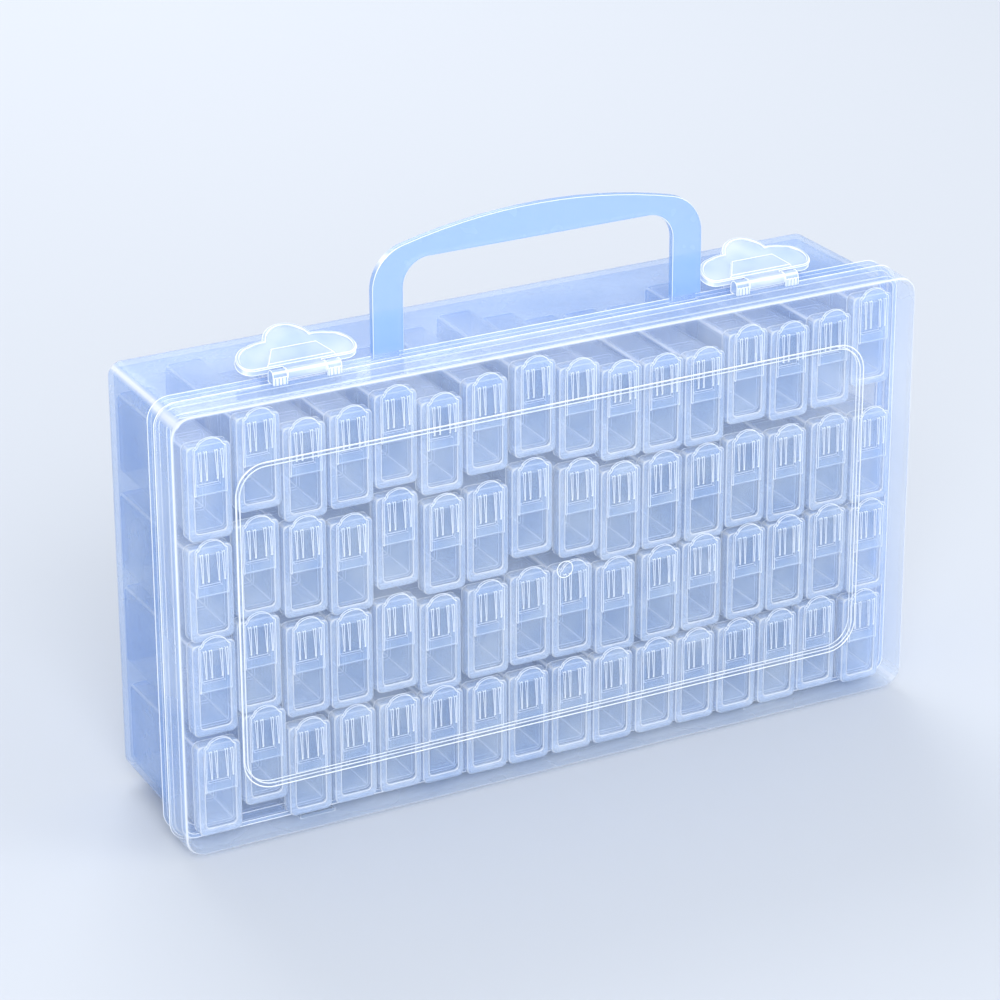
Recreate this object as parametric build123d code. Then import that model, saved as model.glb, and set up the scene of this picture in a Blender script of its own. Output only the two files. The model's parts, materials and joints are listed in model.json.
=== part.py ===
from build123d import *
import math
import os

# Diamond painting storage case, standing on its long narrow side with the lid to the front.
# +X runs along the case, +Y from the lid to the back wall, +Z up to the carry handle.
# The model is drawn with y = 0 on the lid's front face and z = 0 at half the lid's height,
# and is moved at the end so that the origin is at the middle of the box's underside.

# Lid
LID_W = 225.0
LID_H = 126.4
LID_DEPTH = 11.1
LID_WALL = 1.5
LID_FACE = 1.3
LID_CORNER_R = 6.0
LID_EDGE_R = 1.4
PANEL_INSET_X = 16.8
PANEL_INSET_Z = 16.0
PANEL_R = 9.0
PANEL_RAISE = 0.5
PANEL_STEP = 1.3
PANEL_DISH = 0.4
GATE_X = 1.2
GATE_Z = -2.4
GATE_R = 2.4
GATE_DEPTH = 0.3

# Base tray, each width and height measured in from the lid's
BACK_INSET_X = 4.25
BACK_INSET_Z = 3.1
BACK_R = 4.0
BACK_EDGE_R = 1.2
CASE_DEPTH = 52.6
DRAFT = 0.95
TRAY_WALL = 1.4
LID_GAP = 0.3
RIM_INSET_X = 0.6
RIM_INSET_Z = 0.3
RIM_DEPTH = 5.3
RIM_WALL = 1.1
RIM_WEB = 1.4
SPIGOT_GAP = 0.5
SPIGOT_WALL = 1.1
SPIGOT_LENGTH = 4.0

# Latches, hinged on ears of the lid
LATCH_INSET = 42.9
LATCH_PIN_R = 0.8
LATCH_BARREL_R = 1.6
LATCH_AXIS_UP = 2.0
LATCH_AXIS_IN = 0.1
RUNNING_GAP = 0.08
EAR_INNER = 5.8
EAR_W = 4.0
EAR_SIDE_GAP = 0.3
EAR_RIB = 0.35
EAR_RIBS = 4
LATCH_TILT = 22.0
LATCH_T = 1.5
LATCH_ROOT = 2.1
LATCH_HALF = 16.9
LOBE_R = 7.0
LOBE_CENTRE = 10.6
LATCH_GRIP_T = 0.9
LATCH_CATCH_T = 1.3
LATCH_CATCH_HALF = 9.5
CATCH_SIDE_GAP = 0.2
CATCH_TOP_GAP = 0.2

# Carry handle, moulded in one with the tray's rim, between the two latches
HANDLE_X = 1.6
HANDLE_LATCH_GAP = 1.3
HANDLE_RISE = 35.0
HANDLE_CROWN_R = 169.0
HANDLE_SHOULDER_R = 12.0
HANDLE_LEG_W = 9.1
HANDLE_GRIP = 9.4
HANDLE_OPENING_R = 7.5
HANDLE_T = 2.2
HANDLE_EDGE_R = 0.4

# Lid hinges, under the bottom rim
HINGE_INSET = 42.5
HINGE_BACK = 2.6
HINGE_DROP = 1.7
HINGE_PIN_R = 0.8
HINGE_BARREL_R = 1.45
HINGE_BARREL_HALF = 5.2
HINGE_EAR_W = 2.8
HINGE_SIDE_GAP = 0.3
HINGE_NOTCH_GAP = 0.5
HINGE_NOTCH_LIP = 0.05

# Small containers, as wide and tall as the room in the case allows
COLUMNS = 16
ROWS = 4
STACK_MARGIN_X = 4.5
STACK_MARGIN_Z = 2.8
STACK_ROOM_Z = 18.8
COLUMN_PLAY = 0.9
STACK_GAP = 0.2
CAP_DEPTH = 3.6
CAP_R = 1.9
CAP_EDGE_R = 0.7
CAP_PANEL_T = 1.0
CAP_RECESS = 0.8
CAP_FRONT_GAP = 2.1
WINDOW_FRAME_X = 1.85
WINDOW_FRAME_Z = 2.25
WINDOW_R = 1.2
BODY_STEP_X = 0.4
BODY_STEP_Z = 0.95
BODY_TAPER_X = 0.4
BODY_TAPER_Z = 0.9
BODY_WALL = 0.8
BODY_R = 1.8
BODY_END_GAP = 0.3
CAP_BODY_GAP = 0.1
PLUG_GAP = 0.1
PLUG_WALL = 0.8
PLUG_LENGTH = 11.0
FLIP_SHARE = 0.505
FLIP_INSET = 1.9
FLIP_T = 0.9
FLIP_SEAT_GAP = 0.1
TAB_RISE = 2.0
TAB_HALF = 3.3
TAB_SHOULDER = 0.6
POUR_FRAME_X = 1.1
POUR_BOTTOM_FRAME = 1.6
POUR_TOP_FRAME = 2.3
FLIP_PLUG_GAP = 0.3
FLIP_PLUG_INTO = 1.4
RIB_OUT = 0.5
RIB_TOP_FRAME = 1.3
RIB_BOTTOM_FRAME = 4.0
RIB_TOP_W = 0.7
RIB_TIP_W = 0.2
RIB_PLACES = (-0.73, -0.36, 0.32, 0.68)

# Stacking of the containers, as the photograph shows them. COLUMN_SHIFT is how far each one
# stands to the right of its even place, and ROW_GAP is the height left open under it.
COLUMN_SHIFT = {
    4: (0.5, 0.5, 0, 0, 0, -0.5, -0.5, -1, -1, -1.5, -1.5, -2, -2, -2, -2.5, -1),
    3: (0, -0.5, 0, -0.5, -0.5, -1, 0, -0.5, -1, -1, 0, -0.5, 0.5, 0, 0, 0),
    2: (0, 0, 0, 0, 0, 0.5, 0, 0, 1, 0.5, 0, 0, -0.5, -0.5, 0, 0),
    1: (0.5, 1, 0.5, 0.5, 0, 0, 0, 1, 1, 0.5, 0, -0.5, -0.5, -0.5, -0.5, -1),
}
ROW_GAP = {
    4: (1, 7, 0.5, 1, 1, 0.5, 0, 0, 0, 0, 0, 0, 0, 0, 1, 0),
    3: (2.5, 0.5, 2.5, 1.5, 3, 0.5, 2, 3, 2.5, 0.5, 1, 1.5, 1.5, 1.5, 1, 1),
    2: (0.5, 0.5, 2.2, 0.5, 3.5, 2, 2, 5, 2.5, 1, 1, 0, 1.5, 0.5, 0.5, 1),
    1: (1.5, 3, 0.5, 3.5, 2.2, 2, 4, 2.2, 2, 2.5, 1.5, 1.5, 4, 3.5, 4, 8.5),
}
# Row and column of each container that is a part of its own and slides out.
LOOSE_CONTAINERS = ((1, 7), (1, 14), (2, 5), (2, 8), (3, 3), (3, 9))

# Sizes that follow from the ones above
LID_TOP = LID_H / 2
PANEL_W = LID_W - 2 * PANEL_INSET_X
PANEL_H = LID_H - 2 * PANEL_INSET_Z
RIM_W = LID_W - 2 * RIM_INSET_X
RIM_H = LID_H - 2 * RIM_INSET_Z
RIM_FRONT = LID_DEPTH + LID_GAP
RIM_BACK = RIM_FRONT + RIM_DEPTH
RIM_TOP = RIM_H / 2
BACK_W = LID_W - 2 * BACK_INSET_X
BACK_H = LID_H - 2 * BACK_INSET_Z
MOUTH_W = BACK_W + 2 * DRAFT
MOUTH_H = BACK_H + 2 * DRAFT
MOUTH_R = BACK_R + DRAFT
SPIGOT_W = LID_W - 2 * LID_WALL - 2 * SPIGOT_GAP
SPIGOT_H = LID_H - 2 * LID_WALL - 2 * SPIGOT_GAP
SPIGOT_R = LID_CORNER_R - LID_WALL - SPIGOT_GAP
LATCH_X = LID_W / 2 - LATCH_INSET
LATCH_AXIS_Y = LID_DEPTH - LATCH_AXIS_IN
LATCH_AXIS_Z = LID_TOP + LATCH_AXIS_UP
HANDLE_HALF = LATCH_X - LATCH_HALF - HANDLE_LATCH_GAP - HANDLE_X
HANDLE_TOP = LID_TOP + HANDLE_RISE
HANDLE_OPENING_TOP = HANDLE_TOP - HANDLE_GRIP
HINGE_X = LID_W / 2 - HINGE_INSET
HINGE_AXIS_Y = RIM_FRONT + HINGE_BACK
HINGE_AXIS_Z = -MOUTH_H / 2 - HINGE_DROP
COLUMN_PITCH = (LID_W - 2 * STACK_MARGIN_X) / COLUMNS
CAP_W = COLUMN_PITCH - COLUMN_PLAY
CAP_H = (LID_H - STACK_ROOM_Z) / ROWS
BOTTOM_ROW_Z = STACK_MARGIN_Z - LID_TOP
CAP_FRONT = LID_FACE + CAP_FRONT_GAP
WINDOW_W = CAP_W - 2 * WINDOW_FRAME_X
WINDOW_H = CAP_H - 2 * WINDOW_FRAME_Z
BODY_FRONT = CAP_FRONT + CAP_DEPTH + CAP_BODY_GAP
BODY_BACK = CASE_DEPTH - TRAY_WALL - BODY_END_GAP
BODY_W = CAP_W - 2 * BODY_STEP_X
BODY_H = CAP_H - 2 * BODY_STEP_Z
FLIP_W = CAP_W - 2 * FLIP_INSET
FLIP_HINGE_Z = CAP_H * FLIP_SHARE
POUR_W = FLIP_W - 2 * POUR_FRAME_X
POUR_BOTTOM = FLIP_HINGE_Z + POUR_BOTTOM_FRAME
POUR_TOP = CAP_H - POUR_TOP_FRAME
TOTAL_DEPTH = CASE_DEPTH + PANEL_RAISE
UNDERSIDE_Z = HINGE_AXIS_Z - HINGE_BARREL_R


def plane_at(y):
    """Plane facing the viewer at depth y, with its axes along X and Z."""
    return Plane.XZ.offset(-y)


def slab(sketch, y0, y1):
    """Solid of the sketch from depth y0 back to depth y1."""
    return extrude(plane_at(y0) * sketch, amount=y0 - y1)


def tapered(sketch_front, sketch_back, y0, y1):
    """Solid whose outline changes evenly from depth y0 to depth y1."""
    return loft([plane_at(y0) * sketch_front, plane_at(y1) * sketch_back])


def rounded(width, height, radius):
    return RectangleRounded(width, height, radius)


def box_between(x0, x1, y0, y1, z0, z1):
    """Box from its lowest corner to its highest one."""
    centre = Pos((x0 + x1) / 2, (y0 + y1) / 2, (z0 + z1) / 2)
    return centre * Box(x1 - x0, y1 - y0, z1 - z0)


def rod(x0, x1, y, z, radius):
    """Round rod along X."""
    return Pos((x0 + x1) / 2, y, z) * (Rot(0, 90, 0) * Cylinder(radius, x1 - x0))


def grouped(solids):
    return Compound(children=[part.solid() for part in solids])


def handle():
    """Flat carry handle: crowned top, round shoulders, straight legs, one opening."""
    foot = (RIM_TOP - RIM_WALL + MOUTH_H / 2) / 2
    crown_centre = HANDLE_TOP - HANDLE_CROWN_R
    blank = Pos(0, (foot + HANDLE_TOP) / 2) * Rectangle(2 * HANDLE_HALF, HANDLE_TOP - foot)
    crowned = blank & (Pos(0, crown_centre) * Circle(HANDLE_CROWN_R))
    outline = fillet(crowned.vertices().group_by(Axis.Y)[-1], HANDLE_SHOULDER_R)
    opening_w = 2 * (HANDLE_HALF - HANDLE_LEG_W)
    opening_h = HANDLE_OPENING_TOP - foot + 2 * HANDLE_OPENING_R
    opening_centre = HANDLE_OPENING_TOP - opening_h / 2
    opening = Pos(0, opening_centre) * rounded(opening_w, opening_h, HANDLE_OPENING_R)
    plate = slab(Pos(HANDLE_X, 0) * (outline - opening), RIM_BACK - HANDLE_T, RIM_BACK)
    edges = [
        edge
        for edge in plate.faces().filter_by(Axis.Y).edges()
        if edge.bounding_box().max.Z > foot + 1
    ]
    return fillet(edges, HANDLE_EDGE_R)


def base_tray():
    """Deep tray with a turned-down rim, a low wall that enters the lid, and the handle."""
    outer = tapered(
        rounded(MOUTH_W, MOUTH_H, MOUTH_R),
        rounded(BACK_W, BACK_H, BACK_R),
        RIM_FRONT,
        CASE_DEPTH,
    )
    back_face = outer.faces().sort_by(Axis.Y)[-1]
    outer = fillet(back_face.edges(), BACK_EDGE_R)
    inner = tapered(
        rounded(MOUTH_W - 2 * TRAY_WALL, MOUTH_H - 2 * TRAY_WALL, MOUTH_R - TRAY_WALL),
        rounded(BACK_W - 2 * TRAY_WALL, BACK_H - 2 * TRAY_WALL, BACK_R - TRAY_WALL),
        RIM_FRONT,
        CASE_DEPTH - TRAY_WALL,
    )
    rim_outline = rounded(RIM_W, RIM_H, LID_CORNER_R)
    rim_inside = rounded(RIM_W - 2 * RIM_WALL, RIM_H - 2 * RIM_WALL, LID_CORNER_R - RIM_WALL)
    web = slab(rim_outline, RIM_FRONT, RIM_FRONT + RIM_WEB)
    skirt = slab(rim_outline - rim_inside, RIM_FRONT, RIM_BACK)
    spigot_front = RIM_FRONT - SPIGOT_LENGTH
    spigot_outline = rounded(SPIGOT_W, SPIGOT_H, SPIGOT_R)
    spigot_inside = rounded(
        SPIGOT_W - 2 * SPIGOT_WALL, SPIGOT_H - 2 * SPIGOT_WALL, SPIGOT_R - SPIGOT_WALL
    )
    spigot = slab(spigot_outline, spigot_front, RIM_FRONT + RIM_WEB)
    hollow = slab(spigot_inside, spigot_front, RIM_FRONT)
    tray = outer + web + skirt + spigot + handle() - hollow - inner
    for side in (-1, 1):
        tray = tray - hinge_notch(side * HINGE_X)
        tray = tray + tray_hinge_ears(side * HINGE_X)
    return tray


def hinge_notch(x):
    """Gap in the bottom rim that the lid's hinge arm swings through."""
    half = HINGE_BARREL_HALF + HINGE_SIDE_GAP + HINGE_EAR_W + HINGE_NOTCH_GAP
    top = -MOUTH_H / 2 - HINGE_NOTCH_LIP
    return box_between(x - half, x + half, RIM_FRONT, RIM_BACK, -RIM_TOP, top)


def tray_hinge_ears(x):
    """Two ears under the tray wall with the pin of the lid hinge between them."""
    ear_inner = HINGE_BARREL_HALF + HINGE_SIDE_GAP
    ear_outer = ear_inner + HINGE_EAR_W
    wall_bottom = -MOUTH_H / 2 + TRAY_WALL / 2
    ears = rod(x - ear_outer, x + ear_outer, HINGE_AXIS_Y, HINGE_AXIS_Z, HINGE_PIN_R)
    for side in (-1, 1):
        x0, x1 = sorted((x + side * ear_inner, x + side * ear_outer))
        y0 = HINGE_AXIS_Y - HINGE_BARREL_R
        y1 = HINGE_AXIS_Y + HINGE_BARREL_R
        ears = ears + box_between(x0, x1, y0, y1, HINGE_AXIS_Z, wall_bottom)
        ears = ears + rod(x0, x1, HINGE_AXIS_Y, HINGE_AXIS_Z, HINGE_BARREL_R)
    return ears


def lid_hinge_arm(x):
    """Arm from the lid's bottom edge that ends in a barrel round the hinge pin."""
    half = HINGE_BARREL_HALF
    bottom = HINGE_AXIS_Z - HINGE_BARREL_R
    top = HINGE_AXIS_Z + HINGE_BARREL_R - LID_WALL / 2
    arm_front = LID_DEPTH - 1.5 * LID_WALL
    arm_top = -LID_TOP + LID_WALL / 4
    arm = box_between(x - half, x + half, arm_front, HINGE_AXIS_Y, bottom, arm_top)
    arm = arm + box_between(x - half, x + half, LID_DEPTH, HINGE_AXIS_Y, bottom, top)
    arm = arm + rod(x - half, x + half, HINGE_AXIS_Y, HINGE_AXIS_Z, HINGE_BARREL_R)
    bore = rod(x - half, x + half, HINGE_AXIS_Y, HINGE_AXIS_Z, HINGE_PIN_R + RUNNING_GAP)
    return arm, bore


def latch_ears(x):
    """Ribbed ears on the lid's top edge, with the pin that the latch turns on."""
    outer_x = EAR_INNER + EAR_W
    front = LATCH_AXIS_Y - LATCH_BARREL_R
    back = LATCH_AXIS_Y + LATCH_BARREL_R
    ears = rod(x - outer_x, x + outer_x, LATCH_AXIS_Y, LATCH_AXIS_Z, LATCH_PIN_R)
    for side in (-1, 1):
        x0, x1 = sorted((x + side * EAR_INNER, x + side * outer_x))
        ears = ears + box_between(x0, x1, front, back, LID_TOP, LATCH_AXIS_Z)
        ears = ears + box_between(x0, x1, front, LID_DEPTH, LID_TOP - LID_WALL / 2, LID_TOP)
        ears = ears + rod(x0, x1, LATCH_AXIS_Y, LATCH_AXIS_Z, LATCH_BARREL_R)
        for step in range(EAR_RIBS):
            rib_x = x0 + (step + 0.5) * EAR_W / EAR_RIBS
            rib_half = EAR_W / EAR_RIBS / 3
            ears = ears + box_between(
                rib_x - rib_half,
                rib_x + rib_half,
                front - EAR_RIB,
                front + EAR_RIB,
                LID_TOP - LID_WALL / 2,
                LATCH_AXIS_Z,
            )
    return ears


def lid():
    """Shallow lid: face with a raised panel, side walls, latch ears and hinge arms."""
    shell = slab(rounded(LID_W, LID_H, LID_CORNER_R), 0, LID_DEPTH)
    shell = fillet(shell.faces().sort_by(Axis.Y)[0].edges(), LID_EDGE_R)
    shell = shell - slab(
        rounded(LID_W - 2 * LID_WALL, LID_H - 2 * LID_WALL, LID_CORNER_R - LID_WALL),
        LID_FACE,
        LID_DEPTH,
    )
    panel = tapered(
        rounded(PANEL_W - PANEL_RAISE, PANEL_H - PANEL_RAISE, PANEL_R),
        rounded(PANEL_W, PANEL_H, PANEL_R),
        -PANEL_RAISE,
        LID_FACE / 2,
    )
    dish = slab(
        rounded(PANEL_W - 2 * PANEL_STEP, PANEL_H - 2 * PANEL_STEP, PANEL_R - PANEL_STEP),
        LID_FACE - PANEL_DISH,
        LID_FACE,
    )
    gate = slab(Pos(GATE_X, GATE_Z) * Circle(GATE_R), -PANEL_RAISE, -PANEL_RAISE + GATE_DEPTH)
    body = shell + panel - dish - gate
    for side in (-1, 1):
        body = body + latch_ears(side * LATCH_X)
        arm, bore = lid_hinge_arm(side * HINGE_X)
        body = body + arm - bore
    return body


def latch_outline():
    """Cloud outline of the latch's wing, in its own plane, from the hinge upwards."""
    half = LATCH_HALF
    reach = LOBE_CENTRE + LOBE_R
    foot_x = half * 0.805
    bay_x = half * 0.704
    notch_x = LOBE_R * 0.985
    notch_z = LOBE_CENTRE + LOBE_R * 0.257
    curves = []
    for side in (-1, 1):
        foot = (side * foot_x, LATCH_ROOT)
        tip = (side * half, reach * 0.352)
        bay = (side * bay_x, reach * 0.653)
        notch = (side * notch_x, notch_z)
        curves.append(ThreePointArc(foot, (side * half * 0.953, reach * 0.193), tip))
        curves.append(ThreePointArc(tip, (side * half * 0.911, reach * 0.545), bay))
        curves.append(ThreePointArc(bay, (side * half * 0.562, reach * 0.693), notch))
    curves.append(ThreePointArc((-notch_x, notch_z), (0, reach), (notch_x, notch_z)))
    curves.append(Line((-foot_x, LATCH_ROOT), (foot_x, LATCH_ROOT)))
    return make_face(Wire(curves))


def latch(x):
    """Latch: barrel on the lid's pin, tilted wing, raised grip and catch behind the rim."""
    half = EAR_INNER - EAR_SIDE_GAP
    # The wing's plane runs along X and up the tilt, with its normal pointing up and forward.
    wing_plane = Plane(
        origin=(x, LATCH_AXIS_Y, LATCH_AXIS_Z),
        x_dir=(1, 0, 0),
        z_dir=Vector(0, 0, 1).rotate(Axis.X, LATCH_TILT),
    )
    wing = extrude(wing_plane * latch_outline(), amount=LATCH_T / 2, both=True)
    neck = extrude(
        wing_plane * Pos(0, LATCH_ROOT / 2 + 0.5) * Rectangle(2 * half, LATCH_ROOT + 1),
        amount=LATCH_T / 2,
        both=True,
    )
    grip_low = (LATCH_HALF * 0.59, LATCH_ROOT * 1.2)
    grip_high = (LATCH_HALF * 0.39, (LOBE_CENTRE + LOBE_R) * 0.477)
    grip_outline = Polyline(
        (-grip_low[0], grip_low[1]),
        grip_low,
        grip_high,
        (-grip_high[0], grip_high[1]),
        close=True,
    )
    grip = extrude(
        wing_plane.offset(LATCH_T / 2 - 0.1) * make_face(grip_outline),
        amount=LATCH_GRIP_T + 0.1,
        taper=20,
    )
    body = wing + neck + grip
    body = body + rod(x - half, x + half, LATCH_AXIS_Y, LATCH_AXIS_Z, LATCH_BARREL_R)
    catch_front = RIM_BACK + CATCH_SIDE_GAP
    wing_slope = math.tan(math.radians(LATCH_TILT))
    catch_top = LATCH_AXIS_Z + (catch_front - LATCH_AXIS_Y) * wing_slope
    body = body + box_between(
        x - LATCH_CATCH_HALF,
        x + LATCH_CATCH_HALF,
        catch_front,
        catch_front + LATCH_CATCH_T,
        RIM_TOP + CATCH_TOP_GAP,
        catch_top,
    )
    bore = rod(x - half, x + half, LATCH_AXIS_Y, LATCH_AXIS_Z, LATCH_PIN_R + RUNNING_GAP)
    return body - bore


def container_body():
    """Open box of a small container; its mouth is at the front, its lowest cap edge at z = 0."""
    up = Pos(0, CAP_H / 2)
    outer = tapered(
        up * rounded(BODY_W, BODY_H, BODY_R),
        up * rounded(BODY_W - 2 * BODY_TAPER_X, BODY_H - 2 * BODY_TAPER_Z, BODY_R),
        BODY_FRONT,
        BODY_BACK,
    )
    wall = 2 * BODY_WALL
    inner = tapered(
        up * rounded(BODY_W - wall, BODY_H - wall, BODY_R - BODY_WALL),
        up
        * rounded(
            BODY_W - 2 * BODY_TAPER_X - wall, BODY_H - 2 * BODY_TAPER_Z - wall, BODY_R - BODY_WALL
        ),
        BODY_FRONT,
        BODY_BACK - BODY_WALL,
    )
    return outer - inner


def container_cap():
    """Cap: thick round rim, recessed panel with the pour opening, and a plug into the body."""
    up = Pos(0, CAP_H / 2)
    panel_y = CAP_FRONT + CAP_RECESS
    flange = slab(up * rounded(CAP_W, CAP_H, CAP_R), CAP_FRONT, CAP_FRONT + CAP_DEPTH)
    flange = fillet(flange.faces().sort_by(Axis.Y)[0].edges(), CAP_EDGE_R)
    recess = slab(up * rounded(WINDOW_W, WINDOW_H, WINDOW_R), CAP_FRONT, panel_y)
    shrink = 2 * (BODY_WALL + PLUG_GAP)
    plug_w = BODY_W - 2 * BODY_TAPER_X * 0.3 - shrink
    plug_h = BODY_H - 2 * BODY_TAPER_Z * 0.3 - shrink
    plug_end = CAP_FRONT + CAP_DEPTH + PLUG_LENGTH
    plug = slab(up * rounded(plug_w, plug_h, WINDOW_R), CAP_FRONT + CAP_DEPTH, plug_end)
    cavity = slab(
        up * rounded(plug_w - 2 * PLUG_WALL, plug_h - 2 * PLUG_WALL, WINDOW_R / 2),
        panel_y + CAP_PANEL_T,
        plug_end,
    )
    pour = box_between(
        -POUR_W / 2, POUR_W / 2, CAP_FRONT, panel_y + CAP_PANEL_T, POUR_BOTTOM, POUR_TOP
    )
    return flange + plug - recess - cavity - pour


def container_flip_lid():
    """Flip lid: plate in front of the cap, arched thumb tab, grip ribs and a stopper."""
    back = CAP_FRONT - FLIP_SEAT_GAP
    front = back - FLIP_T
    half = FLIP_W / 2
    hinge_y = (front + back) / 2
    shoulder_z = CAP_H - TAB_SHOULDER
    tab_foot_z = CAP_H + TAB_RISE * 0.3
    bend_x = (half + TAB_HALF) / 2
    bend_z = shoulder_z + (tab_foot_z - shoulder_z) * 0.2
    outline = [
        Line((-half, FLIP_HINGE_Z), (-half, shoulder_z)),
        ThreePointArc((-half, shoulder_z), (-bend_x, bend_z), (-TAB_HALF, tab_foot_z)),
        ThreePointArc((-TAB_HALF, tab_foot_z), (0, CAP_H + TAB_RISE), (TAB_HALF, tab_foot_z)),
        ThreePointArc((TAB_HALF, tab_foot_z), (bend_x, bend_z), (half, shoulder_z)),
        Line((half, shoulder_z), (half, FLIP_HINGE_Z)),
        Line((half, FLIP_HINGE_Z), (-half, FLIP_HINGE_Z)),
    ]
    flip = slab(make_face(Wire(outline)), front, back)
    flip = flip + rod(-half, half, hinge_y, FLIP_HINGE_Z, FLIP_T / 2)
    plug_w = POUR_W - 2 * FLIP_PLUG_GAP
    flip = flip + box_between(
        -plug_w / 2,
        plug_w / 2,
        back,
        CAP_FRONT + FLIP_PLUG_INTO,
        POUR_BOTTOM + FLIP_PLUG_GAP,
        POUR_TOP - FLIP_PLUG_GAP,
    )
    rib_top = CAP_H - RIB_TOP_FRAME
    rib_bottom = FLIP_HINGE_Z + RIB_BOTTOM_FRAME
    for place in RIB_PLACES:
        rib_x = place * half
        rib = Polyline(
            (rib_x - RIB_TOP_W / 2, rib_top),
            (rib_x + RIB_TOP_W / 2, rib_top),
            (rib_x + RIB_TOP_W / 2, rib_bottom),
            (rib_x + RIB_TOP_W / 2 - RIB_TIP_W, rib_bottom),
            close=True,
        )
        flip = flip + slab(make_face(rib), front - RIB_OUT, back)
    return flip


def container_places():
    """Place of every container, as {(row, column): (x, z)}, stacked upwards in each column."""
    places = {}
    for column in range(COLUMNS):
        z = BOTTOM_ROW_Z
        for row in (4, 3, 2, 1):
            z += ROW_GAP[row][column]
            x = (column - (COLUMNS - 1) / 2) * COLUMN_PITCH + COLUMN_SHIFT[row][column]
            places[row, column + 1] = (x, z)
            z += CAP_H + STACK_GAP
    return places


def placed(shape):
    """The shape moved from the drawing's origin to the middle of the case's underside."""
    return Pos(0, PANEL_RAISE - TOTAL_DEPTH / 2, -UNDERSIDE_Z) * shape


def write(shape, node):
    export_step(placed(shape), f"parts/{node}.step")


def main():
    os.makedirs("parts", exist_ok=True)
    write(base_tray(), "base_tray")
    write(lid(), "lid")
    write(latch(-LATCH_X), "latch_left")
    write(latch(LATCH_X), "latch_right")
    pieces = {
        "container_body": container_body(),
        "container_cap": container_cap(),
        "flip_lid": container_flip_lid(),
    }
    places = container_places()
    for number, place in enumerate(LOOSE_CONTAINERS, start=1):
        x, z = places[place]
        for kind, piece in pieces.items():
            write(Pos(x, 0, z) * piece, f"loose_{kind}_{number}")
    for row in (1, 2, 3, 4):
        spots = [
            places[row, column]
            for column in range(1, COLUMNS + 1)
            if (row, column) not in LOOSE_CONTAINERS
        ]
        for kind, piece in pieces.items():
            write(grouped([Pos(x, 0, z) * piece for x, z in spots]), f"row_{row}_{kind}_set")


main()
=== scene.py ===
"""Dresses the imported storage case: finishes, fine moulded beads, studio and camera.

Lengths in the dataclass fields are in millimetres and are turned to metres where a mesh
is made. The row frame has its origin under the middle of the case, +Y towards the back
wall and +Z up to the handle.
"""

import json
import logging
import math
from dataclasses import dataclass, field
from enum import Enum

import bpy
import numpy as np
from mathutils import Matrix


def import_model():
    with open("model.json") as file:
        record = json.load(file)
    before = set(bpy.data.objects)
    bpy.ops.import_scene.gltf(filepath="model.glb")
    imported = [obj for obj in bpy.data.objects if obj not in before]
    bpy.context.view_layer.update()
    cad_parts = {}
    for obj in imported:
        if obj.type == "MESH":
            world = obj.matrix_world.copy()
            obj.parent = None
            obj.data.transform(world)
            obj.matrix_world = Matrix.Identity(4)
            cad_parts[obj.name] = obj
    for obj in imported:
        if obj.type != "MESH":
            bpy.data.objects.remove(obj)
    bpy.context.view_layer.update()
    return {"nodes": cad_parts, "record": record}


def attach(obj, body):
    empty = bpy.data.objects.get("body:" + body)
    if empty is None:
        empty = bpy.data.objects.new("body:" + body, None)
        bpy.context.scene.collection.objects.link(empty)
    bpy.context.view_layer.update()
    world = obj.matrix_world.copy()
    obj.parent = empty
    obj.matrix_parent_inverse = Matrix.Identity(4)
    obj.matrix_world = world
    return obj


LOG = logging.getLogger("storage_case")
MM = 0.001
POLYPROPYLENE_IOR = 1.49
# Corners nearer than this, in metres, are one corner, and a shorter edge gets no rod.
MERGE_M = 2e-6
SHORTEST_ROD_M = 1e-5
# The lid's face plane and the middle of its height, in the row frame.
LID_ORIGIN_MM = np.array([0.0, -26.05, 64.2])


def linear(hex_colour: str) -> tuple[float, float, float, float]:
    """Turn an sRGB hex colour into linear RGBA.

    Args:
        hex_colour: Six hex digits, with or without a leading hash.

    Returns:
        Linear red, green, blue and an alpha of one.
    """
    digits = hex_colour.lstrip("#")
    values = []
    for start in (0, 2, 4):
        part = int(digits[start : start + 2], 16) / 255
        values.append(part / 12.92 if part <= 0.04045 else ((part + 0.055) / 1.055) ** 2.4)
    return values[0], values[1], values[2], 1.0


def add_node(tree: bpy.types.NodeTree, kind: str, settings: dict, links: dict) -> bpy.types.Node:
    """Add one shader node with its settings and incoming links.

    Args:
        tree: Node tree that gets the node.
        kind: Blender's type name of the node.
        settings: Socket values by socket name or number, or node properties by their name.
        links: Output sockets by the name or index of the input that each one feeds.

    Returns:
        The new node.
    """
    node = tree.nodes.new(kind)
    for name, value in settings.items():
        if isinstance(name, int) or name in node.inputs:
            node.inputs[name].default_value = value
        else:
            setattr(node, name, value)
    for name, source in links.items():
        tree.links.new(source, node.inputs[name])
    return node


def ranged(
    tree: bpy.types.NodeTree,
    value: bpy.types.NodeSocket,
    source: tuple[float, float],
    target: tuple[float, float],
) -> bpy.types.NodeSocket:
    """Map one range of a value to another, clamped at both ends.

    Args:
        tree: Node tree of the material.
        value: Value to map.
        source: Its range.
        target: The range that it is mapped to.

    Returns:
        The mapped value.
    """
    return add_node(
        tree,
        "ShaderNodeMapRange",
        {
            "From Min": source[0],
            "From Max": source[1],
            "To Min": target[0],
            "To Max": target[1],
        },
        {"Value": value},
    ).outputs["Result"]


class Clarity(Enum):
    """How much of the light one face of a moulded wall stops, as its alpha."""

    CLEAR = 0.07
    GLASSY = 0.17
    FROSTED = 0.24
    HAZY = 0.30
    MILKY = 0.56
    DENSE = 1.0


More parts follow.
